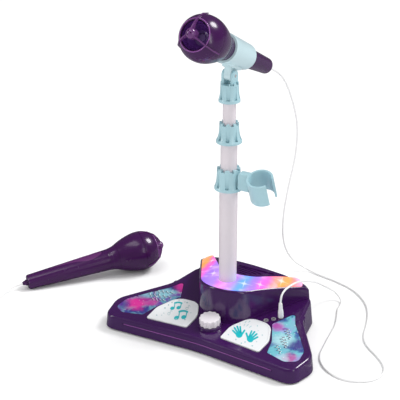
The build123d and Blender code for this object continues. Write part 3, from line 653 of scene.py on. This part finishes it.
class STAND_OT_finishes(bpy.types.Operator):
    """Give every moulded part of the stand its finish"""

    bl_idname = "singing_stand.finishes"
    bl_label = "Finish the moulded parts"

    def execute(self, context):
        colours = context.scene.stand_colours
        finishes = {
            "shell_purple": moulded("shell_purple", colours.shell, 0.24, coat=0.6, variation=0.06),
            "mic_purple": moulded("mic_purple", colours.microphone, 0.26, coat=0.5, variation=0.06),
            "grip_purple": moulded("grip_purple", colours.grip, 0.42, variation=0.06, grain=0.06),
            "bowl_violet": moulded("bowl_violet", colours.bowl, 0.28, coat=0.3, variation=0.12),
            "aqua_plastic": moulded("aqua_plastic", colours.aqua, 0.32, coat=0.3, variation=0.03),
            "tube_white": moulded("tube_white", colours.tube, 0.3, coat=0.3, variation=0.02),
            "pad_white": moulded("pad_white", colours.pad, 0.36, coat=0.15, variation=0.02),
            "knob_white": moulded("knob_white", colours.knob, 0.34, coat=0.2, variation=0.03),
            "lead_white": moulded("plug_white", colours.lead, 0.3, coat=0.2, variation=0.02),
            "dark_inner": moulded("dark_inner", srgb(34, 20, 44), 0.45, variation=0.15),
            "board_green": moulded("board_green", srgb(20, 92, 58), 0.4, coat=0.3, variation=0.2),
            "led_lens": moulded("led_lens", srgb(236, 214, 240), 0.15, coat=0.5, variation=0.1),
            "cell_wrap": moulded("cell_wrap", srgb(58, 64, 82), 0.3, coat=0.3, variation=0.15),
            "foot_rubber": moulded("foot_rubber", srgb(36, 34, 40), 0.7, variation=0.15, grain=0.15),
            "glow_panel": glow_finish("glow_panel"),
        }
        steel = Finish("jack_metal", metallic=0.6)
        steel.set("Base Color", steel.mix(steel.noise(300), srgb(196, 192, 196), srgb(230, 228, 230)))
        steel.set("Roughness", 0.24 + (steel.noise(500) - 0.5) * 0.12)
        finishes["jack_metal"] = steel
        guard = moulded("guard_purple", shade(colours.trim_and_highlight, 0.55), 0.2, coat=0.6, variation=0.06)
        own = {name: galaxy_finish(name, *film) for name, film in FILMS.items()}
        own["mic_clip"] = moulded("clip_aqua", colours.clip, 0.3, coat=0.3, variation=0.03)
        for prefix in ("mic", "spare_mic"):
            own[f"{prefix}_guard"] = guard
            own[f"{prefix}_capsule"] = finishes["bowl_violet"]
        slots = {entry["node"]: entry["material_slot"] for entry in frame["record"]["subparts"]}
        for name, node in frame["nodes"].items():
            finish = own.get(name) or finishes[slots[name]]
            if not node.material_slots:
                node.data.materials.append(None)
            for material_slot in node.material_slots:
                material_slot.link = "OBJECT"
                material_slot.material = finish.material
        return {"FINISHED"}


class STAND_OT_pad_prints(bpy.types.Operator):
    """Print the notes and the hands on the play pads"""

    bl_idname = "singing_stand.pad_prints"
    bl_label = "Print the pads"

    def execute(self, context):
        colours, sizes = context.scene.stand_colours, context.scene.stand_sizes
        ink = moulded("motif_ink", colours.motif, 0.34, coat=0.2, variation=0.05)
        pale_ink = moulded("pale_ink", srgb(150, 186, 190), 0.36, variation=0.2)
        top = PAD_FACE + sizes.print_height / MM
        for body, place, draw in (("left_pad", LEFT_PRINT, notes), ("right_pad", RIGHT_PRINT, hands)):
            heavy, light = draw(place)
            for kind, outlines, finish in (("motif", heavy, ink), ("dots", light, pale_ink)):
                shape = bmesh.new()
                for index, outline in enumerate(outlines):
                    slab(shape, outline, PRINT_FOOT, top + INK_STEP * (index % 4))
                new_piece(f"{body}_{kind}", shape, body, finish)
        return {"FINISHED"}


class STAND_OT_film_scribbles(bpy.types.Operator):
    """Draw the pen loops on the wings' films"""

    bl_idname = "singing_stand.film_scribbles"
    bl_label = "Draw on the films"

    def execute(self, context):
        navy = moulded("pen_navy", srgb(24, 22, 70), 0.3, coat=0.3, variation=0.1)
        white = moulded("pen_white", srgb(240, 246, 250), 0.3, coat=0.3, variation=0.03)
        pens = (("navy", navy, 0, 0.7, -0.4), ("white", white, 0.75, 0.45, -0.44))
        for side, rows in PEN_LOOPS.items():
            for colour, finish, shift, width, top in pens:
                shape = bmesh.new()
                for row in rows:
                    line = [point + Vector((shift, shift)) for point in pen_line(*row)]
                    for index, (start, end) in enumerate(zip(line, line[1:])):
                        slab(shape, dash(start, end, width), FILM_FOOT, top + PEN_STEP * (index % 3))
                new_piece(f"{side}_film_{colour}", shape, "base", finish)
        return {"FINISHED"}


class STAND_OT_mouth_rims(bpy.types.Operator):
    """Set a round rim in the mouth of each microphone, lighter purple as a painted highlight round the mouth
    """

    bl_idname = "singing_stand.mouth_rims"
    bl_label = "Set the mouth rims"

    def execute(self, context):
        colours, sizes = context.scene.stand_colours, context.scene.stand_sizes
        # Lighter lilac than the microphone: a painted highlight on the real rim round the mouth.
        finish = moulded("rim_painted_highlight", colours.trim_and_highlight, 0.18, coat=0.8, variation=0.05)
        minor = sizes.rim_thickness / MM / 2
        for prefix, microphone in (("stand_mic", STAND_MIC), ("spare_mic", SPARE_MIC)):
            shape = round_rim(mic_frame(microphone, MOUTH_PLACE), MOUTH_RADIUS, minor)
            new_piece(f"{prefix}_mouth_rim", shape, prefix, finish, smooth=60)
        return {"FINISHED"}


class STAND_OT_front_line(bpy.types.Operator):
    """Lay the thin bead in the groove along the base's front, lighter purple as a painted highlight line"""

    bl_idname = "singing_stand.front_line"
    bl_label = "Lay the front line"

    def execute(self, context):
        trim_and_highlight = context.scene.stand_colours.trim_and_highlight
        # The bead in the real groove is lighter lilac: a painted highlight line along the front face.
        finish = moulded("line_painted_highlight", trim_and_highlight, 0.2, coat=0.6, variation=0.05)
        places = []
        for step in range(LINE_STEPS + 1):
            x = LINE_HALF * (2 * step / LINE_STEPS - 1)
            y = LINE_FRONT - LINE_SLOPE * math.sqrt(x * x + LINE_CURVE)
            places.append(Vector((x, y, LINE_HEIGHT)))
        shape = bmesh.new()
        upright = Matrix.Translation(places[0]) @ Matrix.Rotation(math.pi / 2, 4, "Y")
        bmesh.ops.create_circle(shape, cap_ends=True, segments=12, radius=LINE_RADIUS, matrix=upright)
        sweep(shape, shape.faces[:][0], [after - before for before, after in zip(places, places[1:])])
        new_piece("front_line", shape, "base", finish)
        return {"FINISHED"}


class STAND_OT_stage(bpy.types.Operator):
    """Set the floor, the lights and the camera"""

    bl_idname = "singing_stand.stage"
    bl_label = "Set the stage"

    def execute(self, context):
        settings = context.scene.stand_stage
        shape = bmesh.new()
        bmesh.ops.create_grid(shape, x_segments=2, y_segments=2, size=settings.floor_width / 2)
        mesh = bpy.data.meshes.new("floor")
        shape.to_mesh(mesh)
        shape.free()
        floor = bpy.data.objects.new("floor", mesh)
        context.scene.collection.objects.link(floor)
        paper = Finish("paper", roughness=0.6, specular=0.1)
        drift = paper.mix(paper.noise(3, detail=2), (0.93, 0.93, 0.93), (0.96, 0.96, 0.96))
        mirrored = paper.node("ShaderNodeLightPath", output="Is Glossy Ray")
        paper.set("Base Color", paper.mix(mirrored * settings.calm, drift, (0.1, 0.1, 0.12)))
        mesh.materials.append(paper.material)
        world = bpy.data.worlds.new("white_room")
        world.use_nodes = True
        tree = world.node_tree
        mirrored = new_node(tree, "ShaderNodeLightPath", output="Is Glossy Ray")
        background = tree.nodes["Background"]
        feed(tree, background.inputs["Color"], (1, 1, 1))
        feed(tree, background.inputs["Strength"], settings.sky * (1 - mirrored * settings.calm))
        context.scene.world = world
        context.scene.view_settings.view_transform = "Standard"
        lamps = [
            ("fill", (-1.5, -1.3, 1.0), (0, 0, 0.2), (0.5, 1.3), settings.fill_power),
            ("strip", (1.5, -0.7, 0.8), (0, 0, 0.25), (0.3, 1.3), settings.strip_power),
            ("overhead", (-0.2, -0.5, 1.9), (0, 0, 0.1), (1.3, 0.5), settings.strip_power),
        ]
        for name, where, target, (width, height), power in lamps:
            lamp = bpy.data.lights.new(name, "AREA")
            lamp.shape = "RECTANGLE"
            lamp.size, lamp.size_y = width, height
            lamp.energy = power
            self.aim(context, name, lamp, where, target)
        sun = bpy.data.lights.new("key", "SUN")
        sun.energy = settings.key_strength
        sun.angle = math.radians(24)
        self.aim(context, "key", sun, (0.9, 1.0, 1.7), (0, 0, 0.1))
        camera = bpy.data.cameras.new("camera")
        camera.lens = settings.lens
        camera.sensor_width = 36
        camera.clip_end = 50
        camera.dof.use_dof = False
        made = self.aim(context, "camera", camera, CAMERA_PLACE, CAMERA_TARGET)
        context.scene.camera = made
        return {"FINISHED"}

    def aim(self, context, name, data, where, target):
        made = bpy.data.objects.new(name, data)
        made.location = where
        direction = Vector(target) - Vector(where)
        made.rotation_euler = direction.to_track_quat("-Z", "Y").to_euler()
        context.scene.collection.objects.link(made)
        return made


class STAND_PT_tools(bpy.types.Panel):
    """Buttons for each group of pieces and the stage"""

    bl_idname = "STAND_PT_tools"
    bl_label = "Singing stand"
    bl_space_type = "VIEW_3D"
    bl_region_type = "UI"
    bl_category = "Singing stand"

    def draw(self, context):
        for step in STEPS:
            self.layout.operator(step.bl_idname)
        for group in (context.scene.stand_colours, context.scene.stand_sizes, context.scene.stand_stage):
            column = self.layout.column(align=True)
            for name in group.__annotations__:
                column.prop(group, name)


STEPS = (
    STAND_OT_stage, STAND_OT_leads, STAND_OT_finishes, STAND_OT_pad_prints, STAND_OT_film_scribbles,
    STAND_OT_mouth_rims, STAND_OT_front_line,
)
GROUPS = (StandColours, StandSizes, StandStage)


def register():
    for kind in (*GROUPS, *STEPS, STAND_PT_tools):
        bpy.utils.register_class(kind)
    bpy.types.Scene.stand_colours = bpy.props.PointerProperty(type=StandColours)
    bpy.types.Scene.stand_sizes = bpy.props.PointerProperty(type=StandSizes)
    bpy.types.Scene.stand_stage = bpy.props.PointerProperty(type=StandStage)


def unregister():
    del bpy.types.Scene.stand_stage
    del bpy.types.Scene.stand_sizes
    del bpy.types.Scene.stand_colours
    for kind in reversed((*GROUPS, *STEPS, STAND_PT_tools)):
        bpy.utils.unregister_class(kind)


def main():
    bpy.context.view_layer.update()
    register()
    bpy.ops.singing_stand.stage()
    bpy.ops.singing_stand.leads()
    bpy.ops.singing_stand.finishes()
    bpy.ops.singing_stand.pad_prints()
    bpy.ops.singing_stand.film_scribbles()
    bpy.ops.singing_stand.mouth_rims()
    bpy.ops.singing_stand.front_line()


if __name__ == "__main__":
    main()
